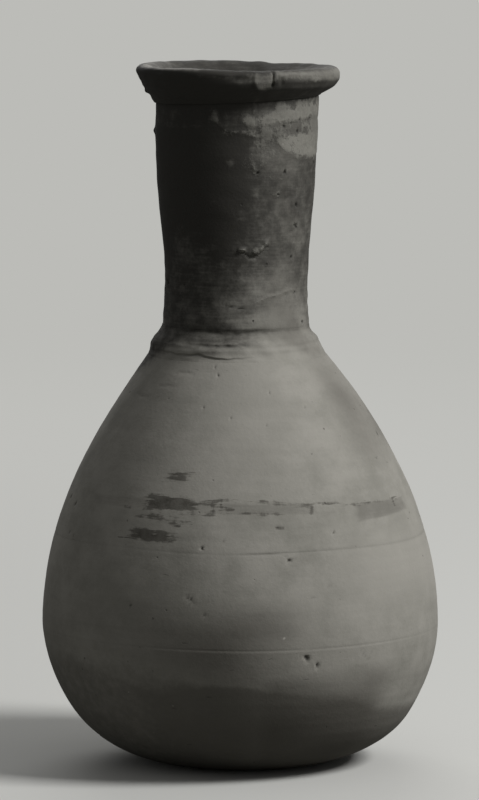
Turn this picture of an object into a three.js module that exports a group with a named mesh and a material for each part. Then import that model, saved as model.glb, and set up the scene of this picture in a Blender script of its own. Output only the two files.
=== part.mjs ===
// An unguentarium: a small wheel-thrown earthenware bottle for scented oil or ointment.
// It was luted together from five pieces of clay before firing: a lower bowl, an upper body,
// a neck, a coil that closes the corner round the neck, and a thickened rim.
// Millimetres, +Z up. The origin is the centre of the flat base, on the surface it stands on.

import * as THREE from "three";

// Overall sizes
const height = 120;
const bodyRadius = 34.2;
const widestHeight = 24.2;
const baseRadius = 12;

// Form of the lower wall: how it turns up from the base, and how long it stays upright
const heelTuck = 3.9;
const heelRise = 1.3;
const bellyEase = 5.8;

// Form of the shoulder: how long it stays upright, and its slope where it reaches the neck's seat
const shoulderEase = 17.5;
const shoulderReach = 10.3;
const shoulderSteepness = 13.4;

// The neck was set down a little off the body's axis, and drew the wet shoulder over with it.
const neckOffCentre = 0.6;
const drawnOverPower = 4;

// The bevelled joint between the two halves of the body
const jointHeight = 40;
const jointRise = 2.4;

// Walls, and the flat floor inside
const floorThickness = 5.2;
const floorRadius = 15;
const bowlWall = 4.2;
const shoulderWall = 3.5;
const neckWall = 3.2;

// Neck: its radii under the rim and at the foot, and how it is drawn in between them
const neckTopRadius = 13.9;
const neckFootRadius = 12.6;
const neckSqueeze = 0.85;
const neckStraightTop = 4.4;
const neckUpperEase = 16;
const neckLowerEase = 12.4;

// Luting coil in the corner round the foot of the neck: a groove parts its two ridges, and its top
// is smeared out thin. The upper ridge swells towards the coil's outer top corner by a share of the
// way there. The coil's thumb-pressed middle is thicker on the -X side.
const coilWidth = 2.8;
const coilHeight = 5.2;
const coilGrooveWidth = 1.4;
const coilGrooveHeight = 2.6;
const coilUpperSwell = 0.3;
const coilFeather = 0.3;
const coilUnevenness = 0.35;

// The flat ring on top of the body that the neck and the coil stand on
const seatHeight = 70.4;
const seatRadius = neckFootRadius + coilWidth;
const seatThickness = 1.8;
const seatTaper = 3.2;

// Rim: it sits on the neck's end. Its lip is a round roll, and its skirt laps down over the outside
// of the neck, further down on the -X side. The mouth dishes down to the bore. The skirt swells and
// the dish sags most at a share of the way from the skirt's edge to the lip, or from the lip down.
const rimHeight = 3.9;
const lipOverhang = 3.6;
const lipRound = 1.35;
const lipUnderside = -40;
const lipCrown = 90;
const lipInnerEdge = 115;
const skirtDepth = 1.6;
const skirtUnevenness = 0.38;
const skirtThickness = 0.5;
const skirtSwell = 0.2;
const skirtSwellPlace = 0.6;
const throatRise = 0.9;
const funnelDish = 0.5;
const funnelDishPlace = 0.5;

// Facets round the axis, and steps along the curves
const segments = 72;
const bodySteps = 12;
const neckSteps = 10;
const ridgeSteps = 3;
const lipSteps = 4;
const funnelSteps = 4;
const leastStep = 0.4;

const point = (r, z) => new THREE.Vector2(r, z);

// A cubic curve through the profile plane, as evenly spaced points.
function curve(a, b, c, d, steps) {
  return new THREE.CubicBezierCurve(a, b, c, d).getSpacedPoints(steps);
}

// A bulge through the profile plane, from a to b, drawn towards a third point.
function bulge(a, towards, b, steps) {
  return new THREE.QuadraticBezierCurve(a, towards, b).getPoints(steps);
}

// A round arc about a centre in the profile plane, between two angles in degrees.
function arc(centre, radius, from, to, steps) {
  const start = THREE.MathUtils.degToRad(from);
  const end = THREE.MathUtils.degToRad(to);
  return new THREE.EllipseCurve(centre.x, centre.y, radius, radius, start, end).getPoints(steps);
}

// The points of a rising profile moved inwards by a wall's thickness, square to the profile.
function inside(points, wall) {
  return points.map((p, i) => {
    const before = points[Math.max(i - 1, 0)];
    const after = points[Math.min(i + 1, points.length - 1)];
    const along = after.clone().sub(before).normalize();
    return point(p.x - wall * along.y, p.y + wall * along.x);
  });
}

// The point of a rising profile at a height.
function pointAt(points, z) {
  const i = points.findIndex((p, k) => k > 0 && p.y >= z);
  const low = points[i - 1];
  const share = (z - low.y) / (points[i].y - low.y);
  return low.clone().lerp(points[i], share);
}

// The stretch of a rising profile between two heights, with a point at each.
function between(points, low, high) {
  const middle = points.filter((p) => p.y > low + leastStep && p.y < high - leastStep);
  return [pointAt(points, low), ...middle, pointAt(points, high)];
}

// A closed profile turned once round the Z axis.
function turned(profile) {
  const onAxis = profile[0].x === 0;
  const points = onAxis ? profile : [...profile, profile[0].clone()];
  return new THREE.LatheGeometry(points, segments).rotateX(Math.PI / 2);
}

// Lets a function move each corner of a turned piece. It is also given the direction from the axis
// to the corner: 1 towards -X, 0 to the front and the back, -1 towards +X.
function shaped(geometry, move) {
  const place = geometry.attributes.position;
  const corner = new THREE.Vector3();
  for (let i = 0; i < place.count; i++) {
    corner.fromBufferAttribute(place, i);
    move(corner, -corner.x / Math.hypot(corner.x, corner.y));
    place.setXYZ(i, corner.x, corner.y, corner.z);
  }
  return geometry;
}

// Outside of the body, from the edge of the base up to the neck's seat
const lowerWall = curve(
  point(baseRadius, 0),
  point(bodyRadius - heelTuck, heelRise),
  point(bodyRadius, widestHeight - bellyEase),
  point(bodyRadius, widestHeight),
  bodySteps,
);
const upperWall = curve(
  point(bodyRadius, widestHeight),
  point(bodyRadius, widestHeight + shoulderEase),
  point(seatRadius + shoulderReach, seatHeight - shoulderSteepness),
  point(seatRadius, seatHeight),
  bodySteps,
);
const outerWall = [...lowerWall, ...upperWall.slice(1)];
const shoulderInside = inside(outerWall, shoulderWall);
const bore = neckFootRadius - neckWall;

// Both halves meet on one bevel, from the outside at the joint's height up to the inside.
const jointOutside = pointAt(outerWall, jointHeight);
const jointInside = pointAt(shoulderInside, jointHeight + jointRise);

// A bowl with a flat base and a flat floor, and a wall that thins towards the joint.
function lowerBody() {
  const innerWall = inside(outerWall, bowlWall).filter(
    (p) => p.x > floorRadius + leastStep && p.y > floorThickness + leastStep,
  );
  return turned([
    point(0, 0),
    ...outerWall.filter((p) => p.y < jointHeight - leastStep),
    jointOutside,
    jointInside,
    ...innerWall.filter((p) => p.y < jointHeight - bowlWall).reverse(),
    point(floorRadius, floorThickness),
    point(0, floorThickness),
  ]);
}

// A shell closed in to the bore, with the flat seat on top, drawn over to where the neck stands.
function upperBody() {
  const ledge = seatHeight - seatThickness;
  const shell = turned([
    ...between(outerWall, jointHeight, seatHeight),
    point(bore, seatHeight),
    point(bore, ledge),
    ...between(shoulderInside, jointHeight + jointRise, ledge - seatTaper).reverse(),
  ]);
  return shaped(shell, (corner) => {
    const rise = (corner.z - jointInside.y) / (ledge - jointInside.y);
    corner.x -= neckOffCentre * THREE.MathUtils.clamp(rise, 0, 1) ** drawnOverPower;
  });
}

// Outside of the neck: upright under the rim and inside the coil, drawn in above the coil
const neckTop = height - rimHeight;
const coilTop = seatHeight + coilHeight;
const neckCurve = curve(
  point(neckFootRadius, coilTop),
  point(neckFootRadius - neckSqueeze, coilTop + neckLowerEase),
  point(neckTopRadius, neckTop - neckStraightTop - neckUpperEase),
  point(neckTopRadius, neckTop - neckStraightTop),
  neckSteps,
);
const mouthBore = neckTopRadius - neckWall;

function neck() {
  return turned([
    point(neckFootRadius, seatHeight),
    ...neckCurve,
    point(neckTopRadius, neckTop),
    point(mouthBore, neckTop),
    ...inside(neckCurve, neckWall).reverse(),
    point(bore, seatHeight),
  ]);
}

// The lower ridge swells out from the seat to the groove, and the upper one from there to the neck.
function lutingCoil() {
  const foot = point(seatRadius, seatHeight);
  const groove = point(neckFootRadius + coilGrooveWidth, seatHeight + coilGrooveHeight);
  const feather = point(neckFootRadius + coilFeather, coilTop);
  const lowerRidge = bulge(foot, point(foot.x, groove.y), groove, ridgeSteps);
  const swell = groove.clone().lerp(point(foot.x, coilTop), coilUpperSwell);
  const upperRidge = bulge(groove, swell, feather, ridgeSteps);
  const coil = turned([
    point(neckFootRadius, seatHeight),
    ...lowerRidge,
    ...upperRidge.slice(1),
    point(neckFootRadius, coilTop),
  ]);
  return shaped(coil, (corner, towardsMinusX) => {
    const radius = Math.hypot(corner.x, corner.y);
    if (radius < neckFootRadius + coilFeather) return;
    const middle = Math.sin((Math.PI * (corner.z - seatHeight)) / coilHeight);
    const swollen = 1 + (coilUnevenness * middle * towardsMinusX) / radius;
    corner.x *= swollen;
    corner.y *= swollen;
  });
}

function rim() {
  const lipRadius = neckTopRadius + lipOverhang;
  const lipCentre = point(lipRadius - lipRound, height - lipRound);
  const lipOutside = arc(lipCentre, lipRound, lipUnderside, lipCrown, lipSteps);
  const lipInside = arc(lipCentre, lipRound, lipCrown, lipInnerEdge, 1)[1];
  const skirtEdge = point(neckTopRadius + skirtThickness, neckTop - skirtDepth);
  const underside = skirtEdge.clone().lerp(lipOutside[0], skirtSwellPlace);
  underside.x += skirtSwell;
  const throat = point(mouthBore, neckTop + throatRise);
  const dish = lipInside.clone().lerp(throat, funnelDishPlace);
  dish.y -= funnelDish;
  const ring = turned([
    point(mouthBore, neckTop),
    point(neckTopRadius, neckTop),
    point(neckTopRadius, skirtEdge.y),
    skirtEdge,
    underside,
    ...lipOutside,
    ...bulge(lipInside, dish, throat, funnelSteps),
  ]);
  return shaped(ring, (corner, towardsMinusX) => {
    const below = Math.max(neckTop - corner.z, 0);
    corner.z -= below * skirtUnevenness * towardsMinusX;
  });
}

// Unglazed earthenware, with a worn darker slip on the neck and the rim
const buffClay = "#8f8c84";
const darkSlip = "#6a6760";
const matt = 0.88;

function clay(name, geometry, color) {
  const material = new THREE.MeshStandardMaterial({ color, roughness: matt, metalness: 0 });
  const mesh = new THREE.Mesh(geometry, material);
  mesh.name = name;
  return mesh;
}

const bottle = new THREE.Group();
bottle.add(clay("lower_body", lowerBody(), buffClay));
bottle.add(clay("upper_body", upperBody(), buffClay));

const neckAndRim = new THREE.Group();
neckAndRim.position.x = -neckOffCentre;
neckAndRim.add(clay("neck", neck(), darkSlip));
neckAndRim.add(clay("luting_coil", lutingCoil(), buffClay));
neckAndRim.add(clay("rim", rim(), darkSlip));
bottle.add(neckAndRim);

export default bottle;
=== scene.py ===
"""The looks of an unguentarium, a small wheel-thrown earthenware bottle for scented oil or ointment.

Five pieces of clay were luted together before firing: a bowl, a shoulder, a neck, a coil round its
foot, and a rim. Each is a closed skin: a ring of profile points turned round the axis, with the
marks of the wheel, the fingers, wear and burial, and with light and shade painted into its colour
in places. Lengths are in millimetres until a mesh is written, and angles are degrees round from
the front, positive towards +X.
"""
import math

import bpy
import numpy as np
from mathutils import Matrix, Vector


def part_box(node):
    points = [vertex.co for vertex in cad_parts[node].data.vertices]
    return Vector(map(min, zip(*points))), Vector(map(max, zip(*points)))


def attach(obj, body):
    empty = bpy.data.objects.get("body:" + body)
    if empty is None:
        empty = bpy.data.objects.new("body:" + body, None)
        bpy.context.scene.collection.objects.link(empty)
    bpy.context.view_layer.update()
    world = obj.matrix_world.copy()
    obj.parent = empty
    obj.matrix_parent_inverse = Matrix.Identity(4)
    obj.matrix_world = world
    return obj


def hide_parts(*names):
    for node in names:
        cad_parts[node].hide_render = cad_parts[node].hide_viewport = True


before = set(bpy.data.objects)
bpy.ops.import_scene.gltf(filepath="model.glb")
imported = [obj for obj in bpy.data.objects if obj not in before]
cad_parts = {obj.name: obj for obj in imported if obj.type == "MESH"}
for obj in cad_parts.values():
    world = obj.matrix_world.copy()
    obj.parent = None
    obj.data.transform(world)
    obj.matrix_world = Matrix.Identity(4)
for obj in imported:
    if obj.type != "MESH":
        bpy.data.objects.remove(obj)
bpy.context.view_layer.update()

MM = 0.001


# Sizes taken from the frame


def corners(node):
    """A frame node's lowest and highest corner, in millimetres."""
    low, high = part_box(node)
    return np.array(low) / MM, np.array(high) / MM


BODY_RADIUS, _, JOINT_INSIDE = corners("lower_body")[1]
JOINT = corners("upper_body")[0][2]
(NECK_LEFT, _, SEAT), (NECK_RIGHT, NECK_RADIUS, NECK_END) = corners("neck")
NECK_AXIS = (NECK_LEFT + NECK_RIGHT) / 2
_, SEAT_RADIUS, COIL_TOP = corners("luting_coil")[1]
_, LIP_RADIUS, HEIGHT = corners("rim")[1]

# Sizes of the profile, as the potter would set them
BASE_RADIUS = 12
WIDEST = 24.2
COIL_WIDTH = 2.8
NECK_FOOT_RADIUS = SEAT_RADIUS - COIL_WIDTH
BOWL_WALL = 4.2
SHOULDER_WALL = 3.5
NECK_WALL = 3.2
FLOOR = 5.2
FLOOR_RADIUS = 15
LEDGE = SEAT - 1.8
BORE = NECK_FOOT_RADIUS - NECK_WALL
MOUTH_BORE = NECK_RADIUS - NECK_WALL
THROAT = NECK_END + 0.9
RIB_MARK = WIDEST - 0.3
PIT_DEPTH = 0.28
SHARP_CREASE = 36

# How far the bottle's middle stands off the axis to +X at some heights: the foot was cut, and the
# neck was set down, a little off centre
LEAN_HEIGHTS = [0, 8, 25, 45, 64, SEAT, 78, 100, 113, HEIGHT]
LEAN = [0.5, 0.45, 0, 0.05, 0.02, NECK_AXIS + 0.1, -0.7, -0.7, -0.5, -0.1]

# Columns of points round the axis
BOWL_COLUMNS = 420
SHOULDER_COLUMNS = 460
NECK_COLUMNS = 440
COIL_COLUMNS = 640
RIM_COLUMNS = 640


# Lines and fields


def bezier(a, b, c, d, count=400):
    """A cubic curve: (1-t)^3 a + 3 (1-t)^2 t b + 3 (1-t) t^2 c + t^3 d, for t from 0 to 1."""
    t = np.linspace(0, 1, count)[:, None]
    a, b, c, d = (np.array(p, float) for p in (a, b, c, d))
    return (1 - t) ** 3 * a + 3 * (1 - t) ** 2 * t * b + 3 * (1 - t) * t**2 * c + t**3 * d


def lengths(line):
    """How far along a line each of its points is."""
    return np.concatenate([[0], np.cumsum(np.hypot(*np.diff(line, axis=0).T))])


def directions(line):
    """The line's direction at each of its points, as a length of 1."""
    along = np.gradient(line, axis=0)
    return along / np.linalg.norm(along, axis=1)[:, None]


def even(points, step, finer=(), fine_step=0.13, reach=0.6):
    """Points along a line, step apart, and closer together near the heights named in finer: density
    is 1/step plus a bell round each of them, and points lie at even shares of its running total."""
    points = np.asarray(points, float)
    length = lengths(points)
    at = np.linspace(0, length[-1], 2000)
    r, z = (np.interp(at, length, side) for side in points.T)
    density = np.full_like(at, 1 / step)
    for height in finer:
        density += (1 / fine_step - 1 / step) * bell(z, height, reach)
    total = np.concatenate([[0], np.cumsum((density[1:] + density[:-1]) / 2 * np.diff(at))])
    count = max(int(round(total[-1])), 1)
    chosen = np.interp(np.linspace(0, total[-1], count + 1), total, at)
    return np.column_stack([np.interp(chosen, at, r), np.interp(chosen, at, z)])


def resampled(line, count):
    """Evenly spaced points along a line, as two columns of r and z."""
    length = lengths(line)
    at = np.linspace(0, length[-1], count)
    return [np.interp(at, length, side)[:, None] for side in line.T]


def cut(line, low, high):
    """The stretch of a rising line between two heights, with a point at each."""
    middle = line[(line[:, 1] > low) & (line[:, 1] < high)]
    ends = [[np.interp(z, line[:, 1], line[:, 0]), z] for z in (low, high)]
    return np.vstack([ends[:1], middle, ends[1:]])


def offset(line, wall):
    """A rising line moved inwards by a wall's thickness, square to its own direction."""
    along = directions(line)
    return line + wall * np.column_stack([-along[:, 1], along[:, 0]])


def smooth(low, high, value):
    """0 at low, 1 at high, and t*t*(3 - 2t) between them. High may be the smaller of the two."""
    t = np.clip((value - low) / (high - low), 0, 1)
    return t * t * (3 - 2 * t)


def between(value, start, full, fading, end):
    """1 from full to fading, and down to 0 at start and end by soft steps."""
    return smooth(start, full, value) * smooth(end, fading, value)


def bell(value, centre, width):
    """exp(-((value - centre) / width)^2)"""
    return np.exp(-(((value - centre) / width) ** 2))


def turned_from(turn, centre):
    """Degrees from a direction round the axis, between -180 and 180."""
    return (turn - centre + 180) % 360 - 180


def arc(turn, centre, radius):
    """Millimetres round a wall from a direction."""
    return np.radians(turned_from(turn, centre)) * radius


def to_left(turn):
    """0.5 - 0.5 sin t: 1 at the left, 0 at the right."""
    return 0.5 - 0.5 * np.sin(np.radians(turn))


def around(turn, stops):
    """A value that is given at some angles and read between them, softened over 3 degrees."""
    angles, values = zip(*stops.items())
    spread = [np.interp(turn + s, angles, values, period=360) for s in (-3, -1.5, 0, 1.5, 3)]
    return np.mean(spread, axis=0)


def ripple(turn, height, seed, most_cycles, rise, count=14):
    """A smooth random field that closes round the pot: cosine waves with whole numbers of cycles
    round, up to most_cycles, and wavelengths up the wall no shorter than rise, added up."""
    pick = np.random.default_rng(seed)
    total = 0
    for _ in range(count):
        cycles = pick.integers(0, most_cycles + 1)
        per_mm = pick.uniform(-1, 1) / rise
        phase = pick.uniform(0, 2 * math.pi)
        total = total + np.cos(cycles * np.radians(turn) + 2 * math.pi * per_mm * height + phase)
    return total * math.sqrt(2 / count)


def waves(turn, height, table):
    """Ripples added up. A row is how far out one stands, then what ripple takes."""
    return sum(size * ripple(turn, height, *row) for size, *row in table)


def lumps(turn, height, radius, table):
    """Bumps and dents, each a bell of the distance round times a bell of the distance up. A row is how
    far out it stands, its angle, height, half width and half height."""
    return sum(
        out * bell(arc(turn, centre, radius), 0, wide) * bell(height, level, tall)
        for out, centre, level, wide, tall in table
    )


def inside_stroke(turn, height, radius, route):
    """Distance in mm inside a stroke, negative outside it. Its route's stops are an angle, a height
    and a half width. A point is projected on the line between two stops, and its distance from
    there is taken from the half width at that share of the line."""
    best = np.full(np.broadcast(turn, height).shape, -9.0)
    for (turn_a, low, half_a), (turn_b, high, half_b) in zip(route, route[1:]):
        across = arc(turn, turn_a, radius)
        up = height - low
        run = np.radians(turn_b - turn_a) * radius
        rise = high - low
        share = np.clip((across * run + up * rise) / (run**2 + rise**2 + 1e-6), 0, 1)
        apart = np.hypot(across - share * run, up - share * rise)
        best = np.maximum(best, half_a + (half_b - half_a) * share - apart)
    return best


def inside_any(turn, height, radius, routes):
    """Distance in mm inside the nearest of some strokes."""
    return np.max([inside_stroke(turn, height, radius, route) for route in routes], axis=0)


def inside_patchy(turn, height, radius, strokes, measure=inside_stroke):
    """Distance in mm inside the nearest of some strokes or dabs, each held to its own fullness."""
    held = [np.minimum(measure(turn, height, radius, way), full) for full, way in strokes]
    return np.max(held, axis=0)


def inside_dab(turn, height, radius, dab):
    """Distance in mm inside a dab of a flat brush: the lesser of those to its long edges and, by a
    quarter, to its ragged ends. Each end is an angle, a height and a half width."""
    turn_a, level_a, half_a, turn_b, level_b, half_b = dab
    radius = np.maximum(radius, 1)
    across = arc(turn, turn_a, radius)
    run = np.radians(turn_b - turn_a) * radius
    share = np.clip(across / run, 0, 1)
    to_edge = half_a + (half_b - half_a) * share - np.abs(height - level_a - (level_b - level_a) * share)
    to_end = np.minimum(across, run - across) / 4
    return np.minimum(to_edge, to_end)


def lean(height):
    """How far off the axis the bottle's middle is, as a mean over 5 mm up and down."""
    spread = [-5, -2.5, 0, 2.5, 5]
    return np.mean([np.interp(height + s, LEAN_HEIGHTS, LEAN) for s in spread], axis=0)


# Outlines


BOWL_CURVE = bezier(
    (BASE_RADIUS, 0), (BODY_RADIUS - 3.9, 1.3), (BODY_RADIUS, WIDEST - 5.8), (BODY_RADIUS, WIDEST)
)
SHOULDER_CURVE = bezier(
    (BODY_RADIUS, WIDEST), (BODY_RADIUS, WIDEST + 17.5), (SEAT_RADIUS + 10.3, SEAT - 13.4),
    (SEAT_RADIUS, SEAT),
)
BODY_LINE = np.vstack([BOWL_CURVE, SHOULDER_CURVE[1:]])
NECK_CURVE = bezier(
    (NECK_FOOT_RADIUS, COIL_TOP), (NECK_FOOT_RADIUS - 0.85, COIL_TOP + 12.4),
    (NECK_RADIUS, NECK_END - 20.4), (NECK_RADIUS, NECK_END - 4.4),
)
NECK_LINE = np.vstack([[NECK_FOOT_RADIUS, SEAT], NECK_CURVE, [NECK_RADIUS, NECK_END]])

# The coil's slope, as height above the seat and distance out: full at the left, lean at the right
FULL_SLOPE = [(0, 2.8), (0.5, 2.45), (1, 2.3), (2, 2.1), (3, 1.6), (4.1, 0.72), (4.8, 0.3), (5.2, 0.12)]
LEAN_SLOPE = [(0, 2.8), (0.6, 2.36), (1.7, 1.95), (2.9, 1.42), (3.6, 0.8), (4.2, 0.3), (5.2, 0.05)]


# Pits left by burnt-out straw and lost grit, in the front half: angle, height and radius
PITS = [
    (15, 38.8, 0.34), (13.8, 39.4, 0.16), (19.2, 22.4, 0.54), (22.3, 21.1, 0.3), (-14.9, 32.6, 0.2),
    (-14.2, 32.3, 0.22), (-13.5, 31.9, 0.16), (-10.1, 29.9, 0.2), (-33.1, 30.8, 0.24),
    (-11.6, 40.8, 0.26), (30.7, 42.9, 0.22), (-5.1, 42, 0.17), (12, 44.2, 0.18), (62.7, 53.8, 0.2),
    (-17.1, 63.3, 0.18), (-3.9, 61.7, 0.18), (16, 65.6, 0.18), (32.7, 63.1, 0.16), (11.7, 60.5, 0.15),
    (-13.9, 69.7, 0.18), (-11.5, 68.5, 0.2), (-62.6, 40, 0.2), (-63.4, 40.7, 0.18),
    (37.4, 102.5, 0.36), (15.7, 102.5, 0.28), (17, 107, 0.2), (32.8, 98.7, 0.26), (51.3, 96.7, 0.32),
    (53, 93.1, 0.44), (50.8, 93.3, 0.25), (49, 87.8, 0.3), (55.5, 81.7, 0.25), (65.7, 76.4, 0.36),
    (34.9, 110.3, 0.26), (41.1, 110.8, 0.22), (47.5, 109.4, 0.28), (49, 111.3, 0.24),
    (55, 109.8, 0.24), (61.7, 111.4, 0.26),
]


# More such pits round the sides and the back, placed by a seeded draw
draw = np.random.default_rng(7)
for lowest, highest, how_many in ((8, 68, 34), (78, 112, 9)):
    for _ in range(how_many):
        PITS.append((draw.uniform(75, 310), draw.uniform(lowest, highest), draw.uniform(0.16, 0.4)))


def pits_between(low, high):
    """The pits that reach a stretch of wall, each with its number."""
    return [(number, pit) for number, pit in enumerate(PITS) if low - 1 < pit[1] < high + 1]


def pit_share(turn, height, radius, low, high):
    """How deep in a pit a point is: a soft step on its distance from the centre over the pit's
    wandering edge, up to 1, and less in pits under 0.6 mm wide, by their size squared."""
    share = np.zeros(np.broadcast(turn, height).shape)
    for number, (centre, level, size) in pits_between(low, high):
        across = arc(turn, centre, radius)
        up = height - level
        bearing = np.arctan2(up, across)
        edge = size * (1 + 0.22 * np.cos(2 * bearing + number) + 0.13 * np.cos(3 * bearing - number))
        deep = min((size / 0.3) ** 2, 1)
        share = np.maximum(share, deep * smooth(1.2, 0.4, np.hypot(across, up) / edge))
    return share


def gathered(turn, height, radius, low, high):
    """Draws points in towards each pit, so that its edge is finely meshed: by 0.7 of the way at its
    centre, and less further out, as a bell four radii wide."""
    hold = smooth(0, 0.8, height - low) * smooth(0, 0.8, high - height)
    for _, (centre, level, size) in pits_between(low, high):
        across = arc(turn, centre, radius)
        up = height - level
        pull = 0.7 * hold * np.exp(-(across**2 + up**2) / (4 * size) ** 2)
        turn = turn - np.degrees(pull * across / radius)
        height = height - pull * up
    return turn, height


# Marks in the clay, as millimetres outwards


# How plainly two level lines show at some angles: the joint of the body's halves, and the mark of
# the potter's rib at the widest part
JOINT_SEEN = {
    -170: 0.5, -120: 0.25, -75: 0.3, -40: 0.15, -16: 0.3, 0: 0.25, 4: 1.1, 11: 1, 15: 0.4, 34: 0.55,
    45: 0.35, 75: 0.35, 110: 0.7, 150: 0.35,
}
RIB_SEEN = {
    -150: 0.5, -90: 0.12, -48: 0.18, -24: 0.45, -8: 0.7, 42: 0.5, 62: 0.2, 100: 0.25, 140: 0.6,
}


def joint_groove(turn, height):
    """How deep in the joint's line a point is: a bell round a level that wanders."""
    return bell(height, JOINT + 0.1 * ripple(turn, 0, 31, 5, 99), 0.2) * around(turn, JOINT_SEEN)


def above_rib(turn, height):
    """Height above the rib's line, which wanders."""
    return height - (RIB_MARK + 0.08 * ripple(turn, 0, 32, 4, 99))


# Short drags of a finger or a tool on the body, as routes
DRAGS = [
    [(-39, 68.5, 0.05), (-35, 68.7, 0.16), (-30, 68.7, 0.16), (-26, 68.5, 0.05)],
    [(-47, 66.3, 0.05), (-41, 66.4, 0.14), (-34, 66.4, 0.05)],
    [(-62, 64.6, 0.05), (-56, 64.4, 0.12), (-50, 64.5, 0.05)],
    [(25.6, 34.5, 0.03), (27, 34.25, 0.1), (28.4, 34.4, 0.03)],
    [(36.6, 23.4, 0.03), (37.8, 22.2, 0.12), (39.6, 20.9, 0.03)],
    [(40.8, 22.9, 0.03), (39.6, 21.2, 0.1)],
    [(128, 67.2, 0.05), (138, 67.5, 0.2), (150, 67.3, 0.05)],
    [(-168, 65.2, 0.05), (-160, 65.1, 0.16), (-149, 65.4, 0.05)],
]


def body_marks(turn, height, radius):
    """Broad waves and fine throwing lines, a thick place low on the right, the joint's groove and the
    rib's, drags and pits."""
    rib = above_rib(turn, height)
    return (
        waves(turn, height, BODY_WAVES) * smooth(0.4, 5, height) * smooth(0, 1.5, SEAT - height)
        + 0.4 * bell(height, 6.5, 3.6) * bell(turned_from(turn, 85), 0, 55)
        - 0.07 * joint_groove(turn, height)
        + (0.04 * bell(rib, -0.36, 0.24) - 0.07 * bell(rib, 0, 0.16)) * around(turn, RIB_SEEN)
        - 0.07 * smooth(-0.25, 0.2, inside_any(turn, height, radius, DRAGS))
        - PIT_DEPTH * pit_share(turn, height, radius, 0, SEAT)
    )


# The fold at the neck's root: how plainly it shows, and how far it wanders up or down
ROOT_SEEN = {
    -100: 0.2, -60: 0.12, -42: 0.3, -33: 0.85, 18: 1, 28: 0.6, 45: 0.35, 100: 0.2, 160: 0.7,
}
ROOT_WANDERS = {
    -100: 0, -50: 0.3, -33: 0.3, -24: 0.02, -5: -0.16, 10: -0.1, 22: 0.05, 60: 0, 150: 0.1,
}


def root_line(turn):
    """The height of the fold at the neck's root, just under the coil's top."""
    return COIL_TOP - 0.36 + around(turn, ROOT_WANDERS) + 0.05 * ripple(turn, 0, 50, 40, 99, 24)


def waist(turn, height):
    """How far the coil presses the neck in along the fold, in a soft groove."""
    return 0.4 * bell(height, root_line(turn), 0.5) * around(turn, ROOT_SEEN)


# Waves in the clay. On the neck, a nub at the left and a knot of grit, as rows for lumps, and the
# crack under the knot, some scratches and a raised wrinkle, as routes
BODY_WAVES = [(0.08, 11, 3, 45), (0.022, 13, 9, 8, 24), (0.006, 12, 2, 1.6, 30)]
NECK_WAVES = [(0.07, 22, 3, 26), (0.026, 23, 14, 3.5, 24)]
COIL_WAVES = [(0.028, 43, 5, 0.9, 30), (0.045, 44, 22, 2.2, 24)]
RIM_WAVES = [(0.07, 51, 5, 30), (0.025, 52, 30, 2.5, 24), (0.02, 53, 3, 1.1, 24)]
NECK_LUMPS = [
    (0.3, -91, 108.9, 0.6, 0.5), (0.45, 23.3, 90.4, 0.6, 0.5), (0.45, 19.8, 89.6, 0.6, 0.45),
    (0.45, 15.8, 89, 0.7, 0.4), (0.45, 5, 89.4, 0.6, 0.3),
]
NECK_SCRATCHES = [
    [(1, 89.1, 0.03), (6, 88.9, 0.12), (11, 88.1, 0.22), (16, 88.1, 0.2), (21, 88.9, 0.12),
     (25.5, 89.9, 0.18)],
    [(-12, 80.3, -0.05), (-6, 79.7, 0.05), (3, 79.3, 0.08), (10, 79.4, 0.03), (21, 79.2, -0.05)],
    [(-3, 78.6, -0.1), (8, 78.4, 0), (20, 78.5, -0.1)],
    [(37, 81.2, -0.05), (51, 81.6, 0.06), (66, 81.2, 0), (80, 81, -0.1)],
]
WRINKLE = [(15.5, 80.3, 0), (26, 81.2, 0.1), (35, 81.5, 0.12), (43, 82, 0.12), (54, 82.4, 0)]


def neck_marks(turn, height, radius):
    """Finger ridges, strongest low down, dents, a squeezed place at the left, the fold, lumps,
    scratches, the wrinkle, an upright seam, the crust's thickness, and pits."""
    low_down = 0.15 + 0.85 * smooth(0, 14, 90 - height)
    out = 0.03 * ripple(turn, height, 21, 1, 1.9, 24) * low_down + waves(turn, height, NECK_WAVES)
    out = out - 0.34 * bell(height, 86, 6) * bell(turned_from(turn, -95), 0, 60)
    seam = bell(arc(turn, 16.8 + 0.6 * ripple(0, height, 25, 0, 3), radius), 0, 0.4)
    return (
        out * smooth(0, 1.5, height - COIL_TOP) * smooth(0, 0.6, NECK_END - 2 - height)
        - waist(turn, height)
        + lumps(turn, height, NECK_RADIUS, NECK_LUMPS)
        - 0.2 * smooth(-0.15, 0.15, inside_any(turn, height, radius, NECK_SCRATCHES))
        + 0.14 * smooth(-0.3, 0.1, inside_stroke(turn, height, radius, WRINKLE))
        - 0.05 * seam * between(height, 91, 93, 100, 103)
        + 0.12 * smooth(-0.4, 0.5, inside_patchy(turn, height, radius, CRUST_AND_HIGHLIGHTS))
        - PIT_DEPTH * pit_share(turn, height, radius, COIL_TOP, NECK_END)
    )


def inner_marks(turn, height):
    """Throwing ridges: a spiral wave 5 mm apart."""
    return 0.28 * np.cos(2 * math.pi * (height / 5 + turn / 360)) * smooth(0, 4, height - FLOOR - 2)


def base_marks(turn, radius):
    """A hollow crossed by the cutting string's curved drag lines, 1.7 mm apart."""
    x = radius * np.sin(np.radians(turn))
    y = radius * np.cos(np.radians(turn))
    drag = np.hypot(x + 16, y - 9)
    lines = 0.5 + 0.5 * np.cos(2 * math.pi * drag / 1.7 + 0.6 * np.sin(y / 3))
    return -(0.22 + 0.2 * lines) * smooth(0, 2, BASE_RADIUS - radius)


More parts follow.
